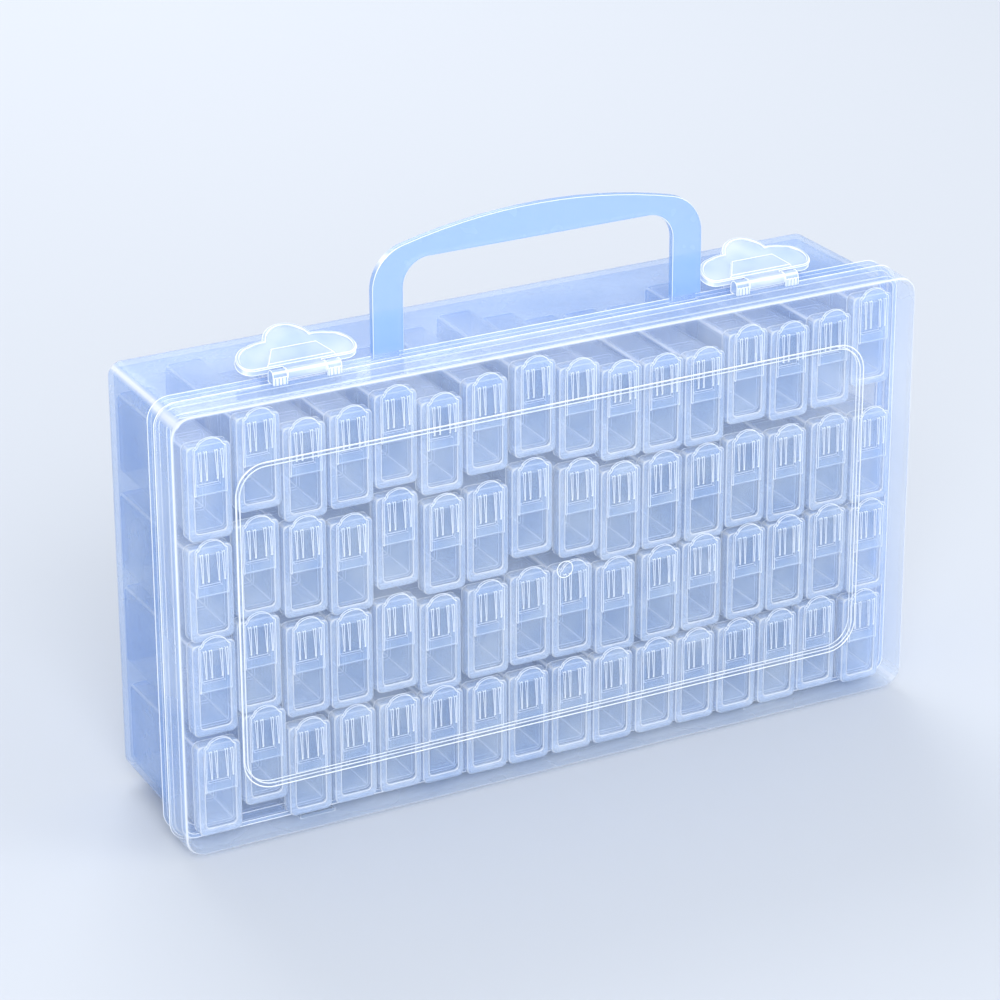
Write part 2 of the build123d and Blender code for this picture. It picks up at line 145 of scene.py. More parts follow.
@dataclass(frozen=True)
class MouldedPolypropylene:
    """Polypropylene, injection moulded: waxy sheen, faint flow clouds, light orange peel.

    The random copolymer is a little blue and milky. Rounded edges get a painted highlight: their
    colour is mixed towards white and their alpha raised, for the light that they gather.
    """

    name: str
    tint: str
    haze: str
    clarity: Clarity
    roughness: float
    flow_mm: float = 26.0
    peel_mm: float = 1.6
    peel_depth: float = 0.03
    # Colour of the painted highlight on rounded edges, and the alpha that this highlight adds.
    edge: str = "#F6FAFF"
    edge_highlight_alpha: float = 0.45
    # Painted sheen: a lid's rim walls are made denser outside this rectangle.
    sheen_border_half_mm: tuple[float, float] | None = None
    sheen_border_alpha: float = 0.0
    textured: bool = True
    # Painted shade: beyond a place along this axis the wall gets a deeper blue and alpha.
    shade_axis: str | None = None
    shade_from_mm: float = 0.0
    shade_tint: str = "#7FA8DC"
    shade_alpha: float = 0.42

    def build(self) -> bpy.types.Material:
        """Build the material.

        Flow clouds and orange peel are noise on Object coordinates; a small piece has the
        clouds alone. Where the rim border is set, the wall gets denser outside that rectangle
        in X and Z: a painted sheen for the whiter look of a lid's rim walls. Where a shade axis
        is set, the wall beyond a place along that axis gets a deeper blue and alpha: painted
        shade.

        Returns:
            The new material.
        """
        material = bpy.data.materials.new(self.name)
        material.use_nodes = True
        tree = material.node_tree
        tree.nodes.clear()
        where = add_node(tree, "ShaderNodeTexCoord", {}, {}).outputs
        place = where["Object"]
        flow = add_node(
            tree,
            "ShaderNodeTexNoise",
            {"Scale": 1 / (self.flow_mm * MM), "Detail": 1.0, "Roughness": 0.5},
            {"Vector": place},
        ).outputs["Fac"]
        colour = add_node(
            tree,
            "ShaderNodeMix",
            {"data_type": "RGBA", 6: linear(self.tint), 7: linear(self.haze)},
            {0: ranged(tree, flow, (0.32, 0.7), (0.0, 1.0))},
        ).outputs[2]
        sockets = {}
        if self.clarity is not Clarity.DENSE:
            low, high = self.clarity.value * 0.9, min(1.0, self.clarity.value * 1.15)
            alpha = ranged(tree, flow, (0.3, 0.72), (low, high))
            # Denser rim walls on the lid: painted sheen.
            if self.sheen_border_half_mm is not None:
                alpha = self.border(tree, place, alpha)
            # Deeper blue and alpha beyond a place along one axis: painted shade.
            if self.shade_axis is not None:
                colour, alpha = self.zone(tree, place, colour, alpha)
            # Rounded edges get a painted highlight: colour mixed towards white and alpha raised.
            rounding = self.rounding(tree, where["Normal"])
            colour = add_node(
                tree,
                "ShaderNodeMix",
                {"data_type": "RGBA", 7: linear(self.edge)},
                {0: rounding, 6: colour},
            ).outputs[2]
            gain = ranged(tree, rounding, (0.0, 1.0), (0.0, self.edge_highlight_alpha))
            sockets["Alpha"] = add_node(
                tree,
                "ShaderNodeMath",
                {"operation": "ADD", "use_clamp": True},
                {0: alpha, 1: gain},
            ).outputs[0]
        relief = flow
        if self.textured:
            relief = add_node(
                tree,
                "ShaderNodeTexNoise",
                {"Scale": 1 / (self.peel_mm * MM), "Detail": 0.0},
                {"Vector": place},
            ).outputs["Fac"]
            sockets["Normal"] = add_node(
                tree,
                "ShaderNodeBump",
                {"Strength": self.peel_depth, "Distance": 0.0002},
                {"Height": relief},
            ).outputs["Normal"]
        sockets["Base Color"] = colour
        sockets["Roughness"] = ranged(
            tree, relief, (0.3, 0.7), (self.roughness * 0.85, self.roughness * 1.25)
        )
        shader = add_node(
            tree, "ShaderNodeBsdfPrincipled", {"IOR": POLYPROPYLENE_IOR, "Metallic": 0.0}, sockets
        )
        add_node(tree, "ShaderNodeOutputMaterial", {}, {"Surface": shader.outputs["BSDF"]})
        return material

    def rounding(
        self, tree: bpy.types.NodeTree, normal: bpy.types.NodeSocket
    ) -> bpy.types.NodeSocket:
        """Mask of the rounded edges and corners.

        The largest of |x|, |y| and |z| of the piece's own normal is 1 on a wall that lies
        along an axis and 0.71 in the middle of a quarter round.

        Args:
            tree: Node tree of the material.
            normal: Normal in the piece's own frame.

        Returns:
            0 on flat walls and 1 in the middle of an edge.
        """
        size = add_node(tree, "ShaderNodeVectorMath", {"operation": "ABSOLUTE"}, {0: normal})
        axes = add_node(
            tree, "ShaderNodeSeparateXYZ", {}, {"Vector": size.outputs["Vector"]}
        ).outputs
        level = add_node(
            tree, "ShaderNodeMath", {"operation": "MAXIMUM"}, {0: axes["X"], 1: axes["Y"]}
        )
        largest = add_node(
            tree, "ShaderNodeMath", {"operation": "MAXIMUM"}, {0: level.outputs[0], 1: axes["Z"]}
        )
        return ranged(tree, largest.outputs[0], (0.92, 0.76), (0.0, 1.0))

    def zone(
        self,
        tree: bpy.types.NodeTree,
        place: bpy.types.NodeSocket,
        colour: bpy.types.NodeSocket,
        alpha: bpy.types.NodeSocket,
    ) -> tuple[bpy.types.NodeSocket, bpy.types.NodeSocket]:
        """Give the wall beyond a place along one axis its deeper colour and alpha.

        Args:
            tree: Node tree of the material.
            place: Object coordinates.
            colour: Colour before the place.
            alpha: Alpha before the place.

        Returns:
            The colour and the alpha with the deeper part in them.
        """
        # Painted shade: the wall beyond the place gets a deeper blue and a higher alpha.
        axes = add_node(tree, "ShaderNodeSeparateXYZ", {}, {"Vector": place}).outputs
        start = self.shade_from_mm * MM
        mask = ranged(tree, axes[self.shade_axis], (start, start + 0.0008), (0.0, 1.0))
        mixed = add_node(
            tree,
            "ShaderNodeMix",
            {"data_type": "RGBA", 7: linear(self.shade_tint)},
            {0: mask, 6: colour},
        ).outputs[2]
        denser = add_node(
            tree, "ShaderNodeMix", {"data_type": "FLOAT", 3: self.shade_alpha}, {0: mask, 2: alpha}
        ).outputs[0]
        return mixed, denser

    def border(
        self,
        tree: bpy.types.NodeTree,
        place: bpy.types.NodeSocket,
        alpha: bpy.types.NodeSocket,
    ) -> bpy.types.NodeSocket:
        """Raise the alpha outside a rectangle in X and Z round the middle of the lid.

        The mask is the larger of |x| minus the half width and |z| minus the half height,
        turned to 0 at the rectangle and 1 two millimetres outside it.

        Args:
            tree: Node tree of the material.
            place: Object coordinates.
            alpha: Alpha inside the rectangle.

        Returns:
            The alpha with its border.
        """
        # Painted sheen: the lid's rim walls are made denser, for the whiter look that light gives
        # them.
        half_x, half_z = self.sheen_border_half_mm
        middle = float(LID_ORIGIN_MM[2]) * MM
        axes = add_node(tree, "ShaderNodeSeparateXYZ", {}, {"Vector": place}).outputs
        across = add_node(tree, "ShaderNodeMath", {"operation": "ABSOLUTE"}, {0: axes["X"]})
        centred = add_node(
            tree, "ShaderNodeMath", {"operation": "SUBTRACT", 1: middle}, {0: axes["Z"]}
        )
        upward = add_node(
            tree, "ShaderNodeMath", {"operation": "ABSOLUTE"}, {0: centred.outputs[0]}
        )
        over_x = add_node(
            tree,
            "ShaderNodeMath",
            {"operation": "SUBTRACT", 1: half_x * MM},
            {0: across.outputs[0]},
        )
        over_z = add_node(
            tree,
            "ShaderNodeMath",
            {"operation": "SUBTRACT", 1: half_z * MM},
            {0: upward.outputs[0]},
        )
        larger = add_node(
            tree,
            "ShaderNodeMath",
            {"operation": "MAXIMUM"},
            {0: over_x.outputs[0], 1: over_z.outputs[0]},
        )
        mask = ranged(tree, larger.outputs[0], (0.0, 0.002), (0.0, self.sheen_border_alpha))
        total = add_node(
            tree,
            "ShaderNodeMath",
            {"operation": "ADD", "use_clamp": True},
            {0: alpha, 1: mask},
        )
        return total.outputs[0]


@dataclass(frozen=True)
class Finishes:
    """The moulded finishes of the case, one for each kind of piece."""

    lid: MouldedPolypropylene = MouldedPolypropylene(
        "clear_moulded_polypropylene_lid",
        "#C4DBFB",
        "#DEECFF",
        Clarity.CLEAR,
        0.10,
        # Denser rim walls: painted sheen.
        sheen_border_half_mm=(111.0, 61.8),
        sheen_border_alpha=0.36,
    )
    tray: MouldedPolypropylene = MouldedPolypropylene(
        "frosted_moulded_polypropylene_tray",
        "#96BEF5",
        "#B9D5FC",
        Clarity.HAZY,
        0.22,
        peel_mm=4.0,
        peel_depth=0.02,
        # Above 128 mm, over the handle: a deeper blue, painted shade for the dark seen through it.
        shade_axis="Z",
        shade_from_mm=128.0,
        shade_tint="#8FB8EC",
        shade_alpha=0.52,
    )
    latch: MouldedPolypropylene = MouldedPolypropylene(
        "milky_moulded_polypropylene_latch",
        "#CBDFFB",
        "#E4EFFF",
        Clarity.MILKY,
        0.2,
        flow_mm=9.0,
    )
    body: MouldedPolypropylene = MouldedPolypropylene(
        "clear_moulded_polypropylene_container",
        "#D2E4FF",
        "#EAF3FF",
        Clarity.HAZY,
        0.2,
        textured=False,
        # Back wall beyond 23.2 mm: a deeper blue, painted shade for the shaded inside seen through
        # the windows.
        shade_axis="Y",
        shade_from_mm=23.2,
        shade_tint="#8FBBF8",
        shade_alpha=0.42,
    )
    cap: MouldedPolypropylene = MouldedPolypropylene(
        "clear_moulded_polypropylene_cap",
        "#B2D1FF",
        "#D0E4FF",
        Clarity.GLASSY,
        0.14,
        flow_mm=11.0,
        textured=False,
        edge_highlight_alpha=0.3,
    )
    frame: MouldedPolypropylene = MouldedPolypropylene(
        "milky_moulded_polypropylene_cap_rim",
        "#C6DDFF",
        "#DEECFF",
        Clarity.FROSTED,
        0.18,
        flow_mm=6.0,
        textured=False,
        edge_highlight_alpha=0.08,
    )
    flip_lid: MouldedPolypropylene = MouldedPolypropylene(
        "clear_moulded_polypropylene_flip_lid",
        "#A8CCFF",
        "#CDE3FF",
        Clarity.GLASSY,
        0.07,
        flow_mm=7.0,
        textured=False,
    )
    # Lid panel beads: the beads are moulded relief; their milky white is a painted highlight along
    # the panel's edge.
    bead: MouldedPolypropylene = MouldedPolypropylene(
        "milky_bead_with_painted_highlight",
        "#EAF2FF",
        "#FAFCFF",
        Clarity.MILKY,
        0.2,
        flow_mm=14.0,
    )
    # Dense white for the rods along crisp edges: painted highlights, not a finish of the plastic.
    painted_edge_highlight: MouldedPolypropylene = MouldedPolypropylene(
        "painted_highlight_edge",
        "#F2F7FF",
        "#FFFFFF",
        Clarity.DENSE,
        0.12,
        flow_mm=5.0,
        textured=False,
    )


def mesh_object(name: str, points: np.ndarray, faces: np.ndarray) -> bpy.types.Object:
    """Make a mesh object from arrays.

    Args:
        name: Name of the piece.
        points: Corners in metres, one row each.
        faces: Corner numbers of each face, one row of four each.

    Returns:
        The new object, linked to the scene.
    """
    mesh = bpy.data.meshes.new(name)
    mesh.vertices.add(len(points))
    mesh.vertices.foreach_set("co", points.astype(np.float32).ravel())
    mesh.loops.add(faces.size)
    mesh.loops.foreach_set("vertex_index", faces.astype(np.int32).ravel())
    mesh.polygons.add(len(faces))
    mesh.polygons.foreach_set(
        "loop_start", np.arange(0, faces.size, faces.shape[1], dtype=np.int32)
    )
    mesh.polygons.foreach_set("use_smooth", np.ones(len(faces), dtype=bool))
    mesh.update(calc_edges=True)
    mesh.validate()
    thing = bpy.data.objects.new(name, mesh)
    bpy.context.scene.collection.objects.link(thing)
    return thing


def bead_along(path: np.ndarray, normal: np.ndarray, width: float, height: float) -> tuple:
    """Sweep a half-ellipse profile along a closed path that lies in a plane.

    Each ring is the path point plus cos(t) times half the width across the path and sin(t)
    times the height along the normal. The lower half is far flatter and sinks into the wall.

    Args:
        path: Points of the closed path in millimetres, one row each.
        normal: Unit normal of the path's plane, the side that the bead stands on.
        width: Width of the bead in millimetres.
        height: Height of the bead in millimetres.

    Returns:
        Points in metres and faces.
    """
    steps = 10
    sunk_mm = 0.12
    turn = np.linspace(0.0, 2 * np.pi, steps, endpoint=False)
    ahead = np.roll(path, -1, axis=0) - np.roll(path, 1, axis=0)
    ahead /= np.linalg.norm(ahead, axis=1, keepdims=True)
    across = np.cross(ahead, normal)
    lift = np.where(np.sin(turn) > 0, np.sin(turn) * height, np.sin(turn) * sunk_mm)
    rings = (
        path[:, None, :]
        + across[:, None, :] * (np.cos(turn) * width / 2)[None, :, None]
        + normal[None, None, :] * lift[None, :, None]
    )
    count = len(path)
    row, column = np.meshgrid(np.arange(count), np.arange(steps), indexing="ij")
    next_row = (row + 1) % count
    next_column = (column + 1) % steps
    faces = np.stack(
        [
            row * steps + column,
            next_row * steps + column,
            next_row * steps + next_column,
            row * steps + next_column,
        ],
        axis=-1,
    ).reshape(-1, 4)
    return rings.reshape(-1, 3) * MM, faces


def crisp_edges(thing: bpy.types.Object, angle_deg: float) -> np.ndarray:
    """Find the outer edges of a CAD piece where two walls meet at more than an angle.

    Corners at one place are merged, each edge is listed with the normals of its two
    triangles, and it is kept where the angle between these normals is large enough and the
    second triangle falls away behind the first one's plane, so that inner corners drop out.

    Args:
        thing: CAD object.
        angle_deg: Smallest angle between the two normals.

    Returns:
        The two ends of each edge in metres, as an array of pairs of points.
    """
    mesh = thing.data
    mesh.calc_loop_triangles()
    points = np.empty(len(mesh.vertices) * 3, np.float64)
    mesh.vertices.foreach_get("co", points)
    points = points.reshape(-1, 3)
    corners = np.empty(len(mesh.loop_triangles) * 3, np.int32)
    mesh.loop_triangles.foreach_get("vertices", corners)
    _, first, merged = np.unique(
        np.round(points / MERGE_M).astype(np.int64), axis=0, return_index=True, return_inverse=True
    )
    points = points[first]
    triangles = merged.ravel()[corners].reshape(-1, 3)
    sides = points[triangles]
    normals = np.cross(sides[:, 1] - sides[:, 0], sides[:, 2] - sides[:, 0])
    normals /= np.maximum(np.linalg.norm(normals, axis=1, keepdims=True), 1e-18)
    edges = np.concatenate([triangles[:, [0, 1]], triangles[:, [1, 2]], triangles[:, [2, 0]]])
    owner = np.tile(np.arange(len(triangles)), 3)
    edges.sort(axis=1)
    order = np.lexsort((edges[:, 1], edges[:, 0]))
    edges, owner = edges[order], owner[order]
    pair = np.flatnonzero((edges[:-1] == edges[1:]).all(axis=1))
    agree = (normals[owner[pair]] * normals[owner[pair + 1]]).sum(axis=1)
    middle = points[triangles[owner[pair + 1]]].mean(axis=1)
    rise = (normals[owner[pair]] * (middle - points[edges[pair, 0]])).sum(axis=1)
    kept = pair[(agree < math.cos(math.radians(angle_deg))) & (rise < 0)]
    return points[edges[kept]]


def thin_rods(ends: np.ndarray, radius: float) -> tuple[np.ndarray, np.ndarray]:
    """Put a closed four-sided rod along each pair of points.

    Two directions across each rod come from the cross product with the axis that it is
    least along. The corners are the ends plus the radius times those two directions.

    Args:
        ends: Pairs of points in metres.
        radius: Radius of the rods in metres.

    Returns:
        Points in metres and faces of four corners each.
    """
    along = ends[:, 1] - ends[:, 0]
    length = np.linalg.norm(along, axis=1, keepdims=True)
    keep = length[:, 0] > SHORTEST_ROD_M
    ends, along = ends[keep], along[keep] / length[keep]
    helper = np.eye(3)[np.abs(along).argmin(axis=1)]
    across = np.cross(along, helper)
    across /= np.linalg.norm(across, axis=1, keepdims=True)
    upright = np.cross(along, across)
    ring = np.stack([across, upright, -across, -upright], axis=1) * radius
    points = np.concatenate([ends[:, :1] + ring, ends[:, 1:] + ring], axis=1)
    pattern = np.array(
        [[0, 1, 5, 4], [1, 2, 6, 5], [2, 3, 7, 6], [3, 0, 4, 7], [3, 2, 1, 0], [4, 5, 6, 7]]
    )
    faces = pattern[None] + (np.arange(len(ends)) * 8)[:, None, None]
    return points.reshape(-1, 3), faces.reshape(-1, 4)


@dataclass
class PaintedEdgeHighlights:
    """Thin rods along the crisp edges, which catch the light as moulded edges do.

    The rods are painted highlights for the light that enters a clear wall and leaves it at its
    edges; on the real piece that white line is light at the edge itself. The rod is as fine as
    still shows in a picture.
    """

    flip_lid_radius: float = 0.085
    cap_radius: float = 0.055
    body_radius: float = 0.055
    tray_radius: float = 0.13
    lid_radius: float = 0.13
    latch_radius: float = 0.12
    angle_deg: float = 32.0
    finishes: Finishes = field(default_factory=Finishes)

    def radius_of(self, node: str) -> tuple[float, str]:
        """Radius in millimetres and material slot for the edges of a node.

        Args:
            node: Name of the node.

        Returns:
            The radius and the record's slot name.
        """
        if "flip_lid" in node:
            return self.flip_lid_radius, "clear_flip_lid"
        if "container_cap" in node:
            return self.cap_radius, "clear_cap"
        if "container_body" in node:
            return self.body_radius, "clear_body"
        if node.startswith("latch"):
            return self.latch_radius, "white_latch"
        if node == "lid":
            return self.lid_radius, "clear_lid"
        return self.tray_radius, "frosted_tray"

    def build(self, nodes: dict, bodies: dict) -> None:
        """Make the edge rods of every CAD node.

        Args:
            nodes: CAD objects by node name.
            bodies: Node names by body name.
        """
        material = self.finishes.painted_edge_highlight.build()
        for body, members in bodies.items():
            for node in members:
                radius, slot = self.radius_of(node)
                ends = crisp_edges(nodes[node], self.angle_deg)
                points, faces = thin_rods(ends, radius * MM)
                rods = mesh_object(f"{node}_painted_highlight_edges", points, faces)
                rods.data.shade_flat()
                repaint(rods, material)
                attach(rods, body)
                LOG.info("made %s with %d rods", rods.name, len(faces) // 6)


def rounded_rectangle(width: float, height: float, radius: float, steps: int = 14) -> np.ndarray:
    """Points of a rounded rectangle, anticlockwise, as four quarter circles.

    Args:
        width: Full width.
        height: Full height.
        radius: Corner radius.
        steps: Points in each corner.

    Returns:
        One row of two numbers for each point.
    """
    quarter = np.linspace(0, np.pi / 2, steps)
    turns = (quarter[None, :] + np.arange(4)[:, None] * np.pi / 2).ravel()
    corner_x = np.repeat(np.array([1, -1, -1, 1]) * (width / 2 - radius), steps)
    corner_z = np.repeat(np.array([1, 1, -1, -1]) * (height / 2 - radius), steps)
    return np.stack(
        [corner_x + radius * np.cos(turns), corner_z + radius * np.sin(turns)], axis=-1
    )


def arc_through(start: tuple, middle: tuple, end: tuple, steps: int = 12) -> np.ndarray:
    """Points of the circle arc through three points, without its last point.

    The centre is where the upright bisectors of the two chords meet.

    Args:
        start: First point.
        middle: Point between the ends.
        end: Last point.
        steps: Number of points.

    Returns:
        One row of two numbers for each point.
    """
    a, b, c = (np.array(point, float) for point in (start, middle, end))
    sides = 2 * np.array([b - a, c - a])
    centre = np.linalg.solve(sides, np.array([b @ b - a @ a, c @ c - a @ a]))
    radius = np.linalg.norm(a - centre)
    angles = np.array([math.atan2(*(point - centre)[::-1]) for point in (a, b, c)])
    first, half, last = np.unwrap(angles)
    if abs(half - first) > abs(last - first) or (half - first) * (last - first) < 0:
        last -= math.copysign(2 * math.pi, last - first)
    turns = np.linspace(first, last, steps, endpoint=False)
    return centre + radius * np.stack([np.cos(turns), np.sin(turns)], axis=-1)


@dataclass
class CaseShell:
    """Base tray and lid, with the fine moulded beads of the lid's face."""

    panel_width: float = 191.4
    panel_height: float = 94.4
    panel_radius: float = 9.0
    panel_raise: float = 0.5
    bead_width: float = 0.34
    bead_height: float = 0.1
    bead_insets: tuple[float, float] = (0.3, 1.4)
    finishes: Finishes = field(default_factory=Finishes)

    def dress(self, nodes: dict) -> None:
        """Give the tray and the lid their finishes.

        Args:
            nodes: CAD objects by node name.
        """
        repaint(nodes["base_tray"], self.finishes.tray.build())
        repaint(nodes["lid"], self.finishes.lid.build())

    def border_beads(self) -> None:
        """Make the two thin beads that frame the lid's raised panel."""
        # The beads' milky white is a painted highlight along the panel's edge.
        material = self.finishes.bead.build()
        normal = np.array([0.0, -1.0, 0.0])
        for number, inset in enumerate(self.bead_insets, start=1):
            outline = rounded_rectangle(
                self.panel_width - 2 * inset,
                self.panel_height - 2 * inset,
                self.panel_radius - inset,
            )
            depth = np.full((len(outline), 1), -self.panel_raise)
            path = np.concatenate([outline[:, :1], depth, outline[:, 1:]], axis=1)
            points, faces = bead_along(
                path + LID_ORIGIN_MM, normal, self.bead_width, self.bead_height
            )
            bead = mesh_object(f"lid_panel_bead_{number}", points, faces)
            repaint(bead, material)
            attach(bead, "lid")
            LOG.info("made %s", bead.name)


@dataclass
class Latches:
    """Two cloud-shaped latches with a raised bead round the edge of each wing."""

    centre_x: float = 69.6
    axis_y: float = 11.0
    axis_z: float = 65.2
    tilt_deg: float = 22.0
    thickness: float = 1.5
    flank: tuple = (
        (13.6, 2.1),
        (16.1, 3.4),
        (16.9, 6.2),
        (15.4, 9.6),
        (11.9, 11.5),
        (9.5, 12.2),
        (6.9, 12.4),
    )
    base_steps: int = 12
    lobe_steps: int = 24
    lobe_centre: float = 10.6
    lobe_radius: float = 7.0
    bead_inset: float = 0.55
    bead_width: float = 1.0
    bead_height: float = 0.4
    finishes: Finishes = field(default_factory=Finishes)

    def outline(self) -> np.ndarray:
        """Points of the cloud outline: arcs up the right flank, the lobe, and down the left.

        Each arc goes through three points of the flank and ends where the next one starts.

        Returns:
            One row of two numbers for each point, anticlockwise.
        """
        mirrored = [(-across, rise) for across, rise in self.flank[::-1]]
        right, left = (
            [arc_through(*side[first : first + 3]) for first in (0, 2, 4)]
            for side in (self.flank, mirrored)
        )
        top = self.lobe_centre + self.lobe_radius
        lobe = arc_through(self.flank[-1], (0.0, top), mirrored[0], self.lobe_steps)
        foot, root = self.flank[0]
        along = np.linspace(-foot, foot, self.base_steps, endpoint=False)
        base = np.stack([along, np.full(self.base_steps, root)], axis=-1)
        return np.concatenate([*right, lobe, *left, base])

    def edge_bead(self, side: int, name: str, body: str) -> bpy.types.Object:
        """Make the raised bead round one latch's wing.

        The outline is drawn in by the inset along its own normals, then laid on the wing's
        upper face, which leans back from the hinge by the tilt.

        Args:
            side: -1 for the left latch and 1 for the right one.
            name: Name of the piece.
            body: Body that it moves with.

        Returns:
            The bead.
        """
        flat = self.outline()
        ahead = np.roll(flat, -1, axis=0) - np.roll(flat, 1, axis=0)
        ahead /= np.linalg.norm(ahead, axis=1, keepdims=True)
        inward = np.stack([-ahead[:, 1], ahead[:, 0]], axis=-1)
        flat = flat + inward * self.bead_inset
        lean = math.radians(self.tilt_deg)
        up_wing = np.array([0.0, math.cos(lean), math.sin(lean)])
        normal = np.array([0.0, -math.sin(lean), math.cos(lean)])
        hinge = np.array([side * self.centre_x, self.axis_y, self.axis_z])
        path = (
            hinge
            + flat[:, :1] * np.array([1.0, 0.0, 0.0])
            + flat[:, 1:] * up_wing
            + normal * (self.thickness / 2)
        )
        points, faces = bead_along(
            path + LID_ORIGIN_MM, normal, self.bead_width, self.bead_height
        )
        bead = mesh_object(name, points, faces)
        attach(bead, body)
        return bead

    def dress(self, nodes: dict) -> None:
        """Give both latches their finish and their edge beads.

        Args:
            nodes: CAD objects by node name.
        """
        milky = self.finishes.latch.build()
        for side, body in ((-1, "latch_left"), (1, "latch_right")):
            repaint(nodes[body], milky)
            bead = self.edge_bead(side, f"{body}_edge_bead", body)
            repaint(bead, milky)
            LOG.info("made %s", bead.name)


@dataclass
class Containers:
    """The stack of small containers: bodies, caps, flip lids and the caps' frosted rims.

    column_shift and row_gap list the sixteen columns of each row from the top row down: how
    far a container stands to the right of its even place, and the height open under it.
    """

    pitch: float = 13.5
    cap_width: float = 12.6
    cap_height: float = 26.9
    cap_depth: float = 3.6
    cap_radius: float = 1.9
    edge_radius: float = 0.7
    cap_front: float = 3.4
    window_width: float = 8.9
    window_height: float = 22.4
    window_radius: float = 1.2
    window_depth: float = 0.75
    stack_gap: float = 0.2
    bottom: float = -60.4
    skin: float = 0.03
    column_shift: tuple = (
        (0.5, 1, 0.5, 0.5, 0, 0, 0, 1, 1, 0.5, 0, -0.5, -0.5, -0.5, -0.5, -1),
        (0, 0, 0, 0, 0, 0.5, 0, 0, 1, 0.5, 0, 0, -0.5, -0.5, 0, 0),
        (0, -0.5, 0, -0.5, -0.5, -1, 0, -0.5, -1, -1, 0, -0.5, 0.5, 0, 0, 0),
        (0.5, 0.5, 0, 0, 0, -0.5, -0.5, -1, -1, -1.5, -1.5, -2, -2, -2, -2.5, -1),
    )
    row_gap: tuple = (
        (1.5, 3, 0.5, 3.5, 2.2, 2, 4, 2.2, 2, 2.5, 1.5, 1.5, 4, 3.5, 4, 8.5),
        (0.5, 0.5, 2.2, 0.5, 3.5, 2, 2, 5, 2.5, 1, 1, 0, 1.5, 0.5, 0.5, 1),
        (2.5, 0.5, 2.5, 1.5, 3, 0.5, 2, 3, 2.5, 0.5, 1, 1.5, 1.5, 1.5, 1, 1),
        (1, 7, 0.5, 1, 1, 0.5, 0, 0, 0, 0, 0, 0, 0, 0, 1, 0),
    )
    loose: tuple = ((1, 7), (1, 14), (2, 5), (2, 8), (3, 3), (3, 9))
    finishes: Finishes = field(default_factory=Finishes)

    def places(self) -> np.ndarray:
        """Middle of each cap's front, from the lid's middle, as rows by columns by X, Y, Z.

        The height is the bottom plus every gap and cap from the lowest row up to this one.
        """
        gaps = np.array(self.row_gap, float)[::-1]
        rise = np.cumsum(gaps, axis=0) + np.arange(4)[:, None] * (self.cap_height + self.stack_gap)
        height = (self.bottom + rise + self.cap_height / 2)[::-1]
        across = (np.arange(16) - 7.5) * self.pitch + np.array(self.column_shift, float)
        return np.stack([across, np.full_like(across, self.cap_front), height], axis=-1)

    def rim_loops(self, out: float) -> list[tuple[float, float, float, float]]:
        """Width, height, corner radius and depth of each loop on one side of the rim's skin.

        Six rounded rectangles: the window's back and front edge, then the front face out to
        where the rounding starts, the rounding's middle and end, and the back edge.

        Args:
            out: How far the loops lie outside the cap's own faces, or inside them if negative.

        Returns:
            The loops, from the window outwards.
        """
        wide, high, edge = self.cap_width, self.cap_height, self.edge_radius
        slant = math.sqrt(0.5)
        bend = edge * (1 - slant)
        inner = (self.window_width - 2 * out, self.window_height - 2 * out)
        outer = (wide + 2 * out, high + 2 * out, self.cap_radius + out)
        middle = 2 * (bend - slant * out)
        return [
            (*inner, self.window_radius - out, self.window_depth),
            (*inner, self.window_radius - out, -out),
            (wide - 2 * edge, high - 2 * edge, self.cap_radius - edge, -out),
            (wide - middle, high - middle, self.cap_radius - middle / 2, bend - slant * out),
            (*outer, edge),
            (*outer, self.cap_depth),
        ]

    def rim(self) -> tuple[np.ndarray, np.ndarray]:
        """Closed thin skin of one cap's rim, round the window, about the middle of its front.

        The loops outside the cap's faces run from the window outwards and those inside them
        run back again, so that the rows of faces between them close on themselves.

        Returns:
            Points in millimetres and faces.
        """
        loops = self.rim_loops(self.skin) + self.rim_loops(-self.skin)[::-1]
        rings = []
        for width, height, radius, depth in loops:
            flat = rounded_rectangle(width, height, radius, 5)
            rings.append(np.stack([flat[:, 0], np.full(len(flat), depth), flat[:, 1]], axis=-1))
        count = len(rings[0])
        row, column = np.meshgrid(np.arange(len(loops)), np.arange(count), indexing="ij")
        ahead = (column + 1) % count
        next_row = (row + 1) % len(loops)
        faces = np.stack(
            [
                row * count + column,
                next_row * count + column,
                next_row * count + ahead,
                row * count + ahead,
            ],
            axis=-1,
        ).reshape(-1, 4)
        return np.concatenate(rings), faces

    def rims(self) -> None:
        """Make the frosted rims: one piece for each row and one for each loose container."""
        material = self.finishes.frame.build()
        points, faces = self.rim()
        places = self.places() + LID_ORIGIN_MM
        groups = {
            f"row_{row}_cap_rims": (
                "tray",
                [places[row - 1, c - 1] for c in range(1, 17) if (row, c) not in self.loose],
            )
            for row in (1, 2, 3, 4)
        }
        for number, (row, column) in enumerate(self.loose, start=1):
            groups[f"loose_cap_rim_{number}"] = (
                f"loose_container_{number}",
                [places[row - 1, column - 1]],
            )
        for name, (body, spots) in groups.items():
            spots = np.array(spots)
            all_points = (points[None] + spots[:, None]).reshape(-1, 3) * MM
            steps = (np.arange(len(spots)) * len(points))[:, None, None]
            rims = mesh_object(name, all_points, (faces[None] + steps).reshape(-1, 4))
            repaint(rims, material)
            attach(rims, body)
            LOG.info("made %s", name)

    def dress(self, nodes: dict) -> None:
        """Give every container piece its finish by the kind named in its node.

        Args:
            nodes: CAD objects by node name.
        """
        kinds = {
            "container_body": self.finishes.body.build(),
            "container_cap": self.finishes.cap.build(),
            "flip_lid": self.finishes.flip_lid.build(),
        }
        for name, thing in nodes.items():
            for kind, material in kinds.items():
                if kind in name:
                    repaint(thing, material)
                    LOG.info("dressed %s", name)
        self.rims()


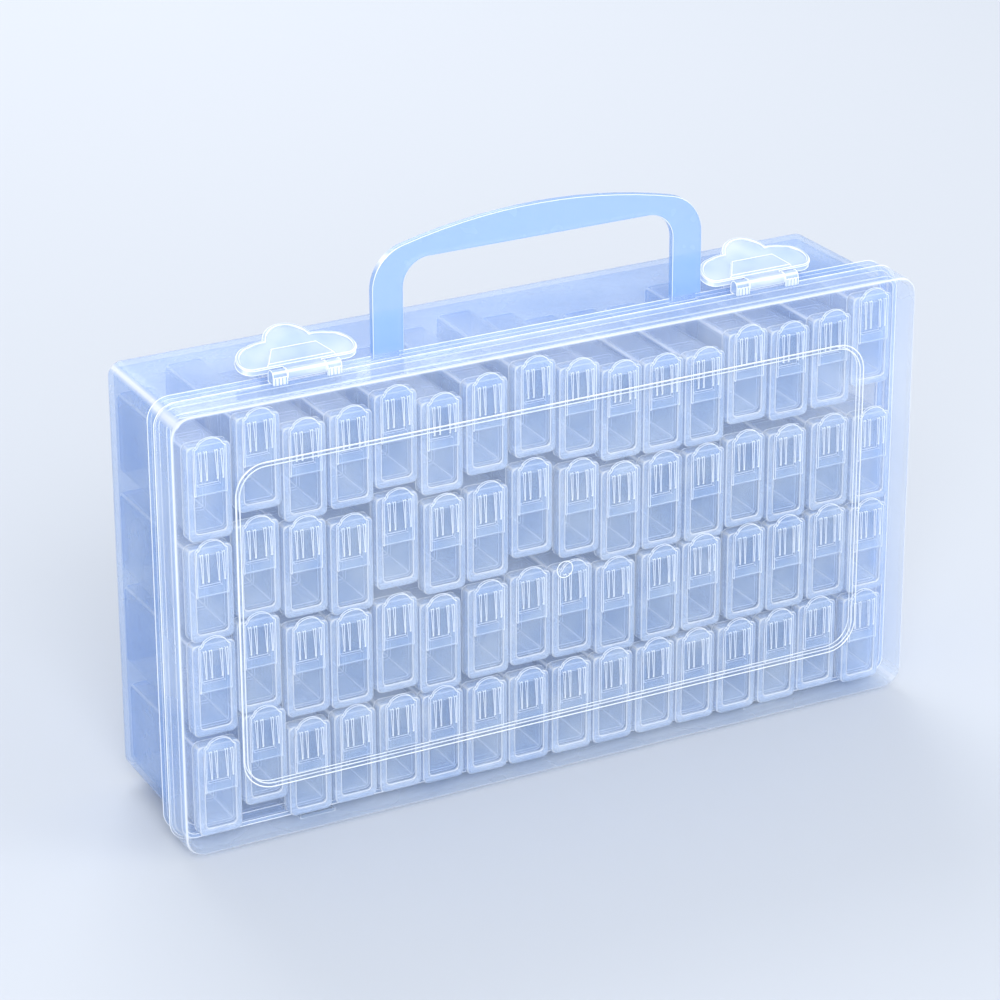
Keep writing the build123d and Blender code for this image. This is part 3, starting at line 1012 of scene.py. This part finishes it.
def repaint(thing: bpy.types.Object, material: bpy.types.Material) -> None:
    """Put one material in every slot of an object.

    Args:
        thing: Object to dress.
        material: Its material.
    """
    if not thing.data.materials:
        thing.data.materials.append(material)
    for slot in thing.material_slots:
        slot.material = material


@dataclass
class Camera:
    """Camera at the photograph's angle, with a long lens a metre away."""

    azimuth_deg: float = -27.67
    elevation_deg: float = 23.65
    roll_deg: float = -0.19
    distance: float = 1077.65
    focal_px: float = 3973.04
    picture_px: float = 1000.0
    lid_centre_px: tuple[float, float] = (560.25, 561.55)

    def build(self) -> bpy.types.Object:
        """Make the camera and make it the scene's camera.

        The view axis comes from azimuth and elevation, the picture's axes are turned by the
        roll, and the camera stands so that the middle of the lid falls on its pixel.

        Returns:
            The camera.
        """
        turn = math.radians(self.azimuth_deg)
        rise = math.radians(self.elevation_deg)
        roll = math.radians(self.roll_deg)
        back = np.array(
            [math.sin(turn) * math.cos(rise), -math.cos(turn) * math.cos(rise), math.sin(rise)]
        )
        right = np.cross(-back, [0.0, 0.0, 1.0])
        right /= np.linalg.norm(right)
        upward = np.cross(right, -back)
        across = right * math.cos(roll) + upward * math.sin(roll)
        upright = -right * math.sin(roll) + upward * math.cos(roll)
        shift_x = (self.lid_centre_px[0] - self.picture_px / 2) / self.focal_px * self.distance
        shift_y = (self.lid_centre_px[1] - self.picture_px / 2) / self.focal_px * self.distance
        place = LID_ORIGIN_MM - across * shift_x + upright * shift_y + back * self.distance
        data = bpy.data.cameras.new("camera")
        data.sensor_width = 36.0
        data.lens = self.focal_px / self.picture_px * data.sensor_width
        data.clip_start = 0.05
        data.clip_end = 50.0
        camera = bpy.data.objects.new("camera", data)
        bpy.context.scene.collection.objects.link(camera)
        camera.matrix_world = Matrix(
            [
                [across[0], upright[0], back[0], place[0] * MM],
                [across[1], upright[1], back[1], place[1] * MM],
                [across[2], upright[2], back[2], place[2] * MM],
                [0.0, 0.0, 0.0, 1.0],
            ]
        )
        bpy.context.scene.camera = camera
        return camera


@dataclass
class Studio:
    """Plain pale floor, pale surround and soft lamps, with lengths in metres.

    Each lamp has its name, its place, the side of its square and its power in watts.
    """

    floor_half: float = 4.0
    floor_colour: str = "#CDD2DA"
    surround_colour: str = "#E6EAF0"
    surround_strength: float = 0.8
    aim_height: float = 0.08
    lamps: tuple = (
        ("key_lamp", (-0.55, -1.25, 0.85), 0.8, 17.0),
        ("fill_lamp", (1.2, -1.0, 0.6), 0.9, 8.0),
        ("rear_lamp", (0.2, 1.1, 1.0), 0.8, 9.0),
    )

    def floor(self) -> None:
        """Make the floor, a square far larger than the case."""
        half = self.floor_half
        corners = half * np.array([[-1, -1, 0], [1, -1, 0], [1, 1, 0], [-1, 1, 0]])
        plane = mesh_object("floor", corners, np.array([[0, 1, 2, 3]]))
        material = bpy.data.materials.new("matt_paper_floor")
        material.use_nodes = True
        tree = material.node_tree
        tree.nodes.clear()
        shader = add_node(
            tree,
            "ShaderNodeBsdfPrincipled",
            {"Base Color": linear(self.floor_colour), "Roughness": 0.85},
            {},
        )
        add_node(tree, "ShaderNodeOutputMaterial", {}, {"Surface": shader.outputs["BSDF"]})
        repaint(plane, material)

    def surround(self) -> None:
        """Light the scene evenly from all round."""
        world = bpy.data.worlds.new("surround")
        bpy.context.scene.world = world
        world.use_nodes = True
        tree = world.node_tree
        tree.nodes.clear()
        light = add_node(
            tree,
            "ShaderNodeBackground",
            {"Color": linear(self.surround_colour), "Strength": self.surround_strength},
            {},
        )
        add_node(tree, "ShaderNodeOutputWorld", {}, {"Surface": light.outputs["Background"]})

    def lamp(self, name: str, place: tuple, size: float, watts: float) -> None:
        """Hang one square soft lamp that points at the middle of the case.

        Args:
            name: Name of the lamp.
            place: Where it hangs, in metres.
            size: Side of its square in metres.
            watts: Its power.
        """
        data = bpy.data.lights.new(name, "AREA")
        data.shape = "SQUARE"
        data.size = size
        data.energy = watts
        lamp = bpy.data.objects.new(name, data)
        bpy.context.scene.collection.objects.link(lamp)
        back = np.array(place, float) - np.array([0.0, 0.0, self.aim_height])
        back /= np.linalg.norm(back)
        right = np.cross([0.0, 0.0, 1.0], back)
        right /= np.linalg.norm(right)
        upward = np.cross(back, right)
        lamp.matrix_world = Matrix(
            [
                [right[0], upward[0], back[0], place[0]],
                [right[1], upward[1], back[1], place[1]],
                [right[2], upward[2], back[2], place[2]],
                [0.0, 0.0, 0.0, 1.0],
            ]
        )

    def build(self) -> None:
        """Make the floor, the surround and the lamps."""
        self.floor()
        self.surround()
        for lamp in self.lamps:
            self.lamp(*lamp)


def main() -> None:
    logging.basicConfig(level=logging.INFO)
    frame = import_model()
    scene = bpy.context.scene
    scene.view_settings.view_transform = "Standard"
    # A view line crosses up to ten clear walls, each with two faces.
    scene.cycles.transparent_max_bounces = 20
    scene.cycles.max_bounces = 7
    scene.cycles.diffuse_bounces = 5
    scene.cycles.glossy_bounces = 2
    nodes = frame["nodes"]
    finishes = Finishes()
    Camera().build()
    Studio().build()
    shell = CaseShell(finishes=finishes)
    shell.dress(nodes)
    shell.border_beads()
    Latches(finishes=finishes).dress(nodes)
    Containers(finishes=finishes).dress(nodes)
    # Dense white rods along the crisp edges: painted highlights.
    PaintedEdgeHighlights(finishes=finishes).build(nodes, frame["record"]["behaviour"]["bodies"])


if __name__ == "__main__":
    main()
